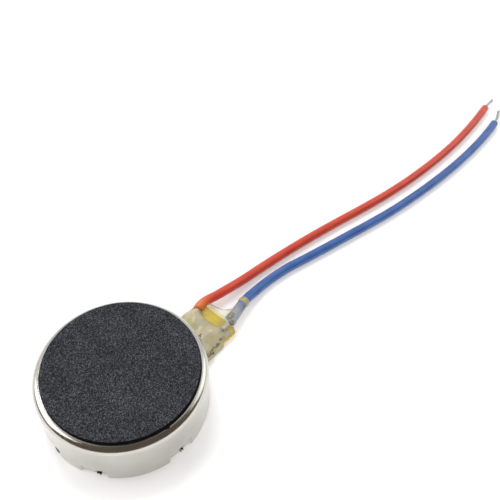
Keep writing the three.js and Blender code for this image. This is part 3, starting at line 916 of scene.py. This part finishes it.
# ---------------------------------------------------------------- CAD pieces that keep their shape
CARRIED = {
    "pad_adhesive": adhesive_material(),
    "base_plate": STEEL,
    "shaft": metal_material("ground_steel", (0.55, 0.55, 0.56), (0.7, 0.7, 0.7), (0.12, 0.22)),
    "flex_circuit": POLYIMIDE,
    "copper_pad": metal_material("bare_copper", (0.55, 0.24, 0.12), (0.78, 0.42, 0.25)),
    "ring_magnet": metal_material("magnet_plating", (0.30, 0.31, 0.33), (0.42, 0.43, 0.45), (0.3, 0.5)),
    "brush": metal_material("brush_alloy", (0.70, 0.50, 0.16), (0.88, 0.68, 0.28), (0.15, 0.3)),
    "washer": moulded_material("low_friction_plastic", (0.74, 0.70, 0.60), (0.85, 0.82, 0.73), (0.3, 0.45)),
    "bearing": metal_material(
        "sintered_bronze", (0.24, 0.15, 0.07), (0.46, 0.31, 0.15), (0.5, 0.75), 12, 0.02
    ),
    "rotor_board": moulded_material("solder_mask", (0.025, 0.12, 0.04), (0.05, 0.2, 0.07), (0.25, 0.4), 5),
    "commutator_segment": metal_material("gold_flash", (0.75, 0.52, 0.16), (0.92, 0.70, 0.28), (0.12, 0.28)),
    "coil": coil_material(),
    "counterweight": metal_material(
        "tungsten", (0.17, 0.175, 0.19), (0.30, 0.305, 0.32), (0.4, 0.6), 9, 0.012
    ),
    "rotor_resin": moulded_material("moulding_resin", (0.012, 0.016, 0.014), (0.035, 0.042, 0.038)),
    "solder_joint": metal_material("solder", (0.50, 0.50, 0.51), (0.72, 0.72, 0.73), (0.2, 0.38)),
}


def smooth_by_angle(angle):
    """A modifier's node group: smooth shading, with edges sharper than the angle kept crisp."""
    group = bpy.data.node_groups.new("smooth_by_angle", "GeometryNodeTree")
    group.interface.new_socket("Geometry", in_out="INPUT", socket_type="NodeSocketGeometry")
    group.interface.new_socket("Geometry", in_out="OUTPUT", socket_type="NodeSocketGeometry")
    start, end = group.nodes.new("NodeGroupInput"), group.nodes.new("NodeGroupOutput")
    edge_angle = group.nodes.new("GeometryNodeInputMeshEdgeAngle")
    gentle = group.nodes.new("FunctionNodeCompare")
    gentle.operation = "LESS_EQUAL"
    gentle.inputs[1].default_value = math.radians(angle)
    faces = group.nodes.new("GeometryNodeSetShadeSmooth")
    edges = group.nodes.new("GeometryNodeSetShadeSmooth")
    edges.domain = "EDGE"
    group.links.new(start.outputs[0], faces.inputs["Geometry"])
    group.links.new(faces.outputs["Geometry"], edges.inputs["Geometry"])
    group.links.new(edge_angle.outputs["Unsigned Angle"], gentle.inputs[0])
    group.links.new(gentle.outputs[0], edges.inputs["Shade Smooth"])
    group.links.new(edges.outputs["Geometry"], end.inputs[0])
    return group


def dress_cad_nodes():
    """Gives each CAD node that keeps its shape a material and smooth shading, its mesh left as it is."""
    smoothing = smooth_by_angle(32)
    for name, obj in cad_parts.items():
        for start, material in CARRIED.items():
            if name.startswith(start) or (start == "washer" and name.endswith("washer")):
                obj.data.materials.clear()
                obj.data.materials.append(material)
                obj.modifiers.new("smooth_by_angle", "NODES").node_group = smoothing


dress_cad_nodes()


# ---------------------------------------------------------------- floor and light
def studio():
    """A plain pale floor, three softboxes, a soft fill and a room of two tones."""
    signs = ((-1, -1), (1, -1), (1, 1), (-1, 1))
    corners = [(x * FLOOR_REACH, y * FLOOR_REACH, FLOOR_HEIGHT) for x, y in signs]
    floor = add_mesh("floor", corners, [(0, 1, 2, 3)])
    paper = Material("paper", Roughness=0.9, Specular_IOR_Level=0.1, Emission_Strength=0.1)
    white = paper.ramp(paper.noise(0.02, 2), (0.3, 0.93), (0.7, 0.95))
    paper.use(Base_Color=white, Emission_Color=white)
    floor.data.materials.append(paper.data)

    def softbox(name, place, aim, size, power):
        data = bpy.data.lights.new(name, "AREA")
        data.shape = "RECTANGLE"
        data.size, data.size_y = size[0] * MM, size[1] * MM
        data.energy = power
        lamp = bpy.data.objects.new(name, data)
        bpy.context.scene.collection.objects.link(lamp)
        lamp.location = Vector(place) * MM
        lamp.rotation_euler = (Vector(aim) - Vector(place)).to_track_quat("-Z", "Y").to_euler()
        return lamp

    softbox("overhead", (60, 100, 210), (8, 0, 0), (80, 80), 0.16)
    softbox("left", (-110, 135, 150), (0, 0, 0), (160, 160), 0.22)
    softbox("right", (190, -80, 135), (10, 0, 0), (160, 160), 0.09)
    fill = softbox("front_fill", (-70, -150, 190), (8, 0, 0), (260, 260), 0.41)
    fill.visible_glossy = False

    # The room is white on its far side and dark on its near side. The camera itself sees an even grey.
    world = bpy.data.worlds.new("studio")
    world.use_nodes = True
    nodes, links = world.node_tree.nodes, world.node_tree.links
    direction = nodes.new("ShaderNodeTexCoord")
    facing = nodes.new("ShaderNodeVectorMath")
    facing.operation = "DOT_PRODUCT"
    facing.inputs[1].default_value = Vector(ROOM_DARK_SIDE).normalized()
    patch = nodes.new("ShaderNodeMapRange")
    # Inputs 6 to 10 of a vector Map Range are the value, the range it comes from and the range it goes to.
    patch.data_type = "FLOAT_VECTOR"
    patch.interpolation_type = "SMOOTHSTEP"
    low, high = ROOM_TURNS_DARK
    patch.inputs[7].default_value = (low, low, low)
    patch.inputs[8].default_value = (high, high, high)
    patch.inputs[9].default_value = ROOM_LIGHT
    patch.inputs[10].default_value = ROOM_DARK
    seen = nodes.new("ShaderNodeLightPath")
    backdrop = nodes.new("ShaderNodeMix")
    backdrop.data_type = "RGBA"
    backdrop.inputs[7].default_value = BACKDROP
    links.new(direction.outputs["Generated"], facing.inputs[0])
    links.new(facing.outputs["Value"], patch.inputs[6])
    links.new(seen.outputs["Is Camera Ray"], backdrop.inputs[0])
    links.new(patch.outputs["Vector"], backdrop.inputs[6])
    links.new(backdrop.outputs[2], nodes["Background"].inputs["Color"])
    nodes["Background"].inputs["Strength"].default_value = ROOM_STRENGTH
    bpy.context.scene.world = world
    bpy.context.scene.view_settings.view_transform = "Standard"


studio()
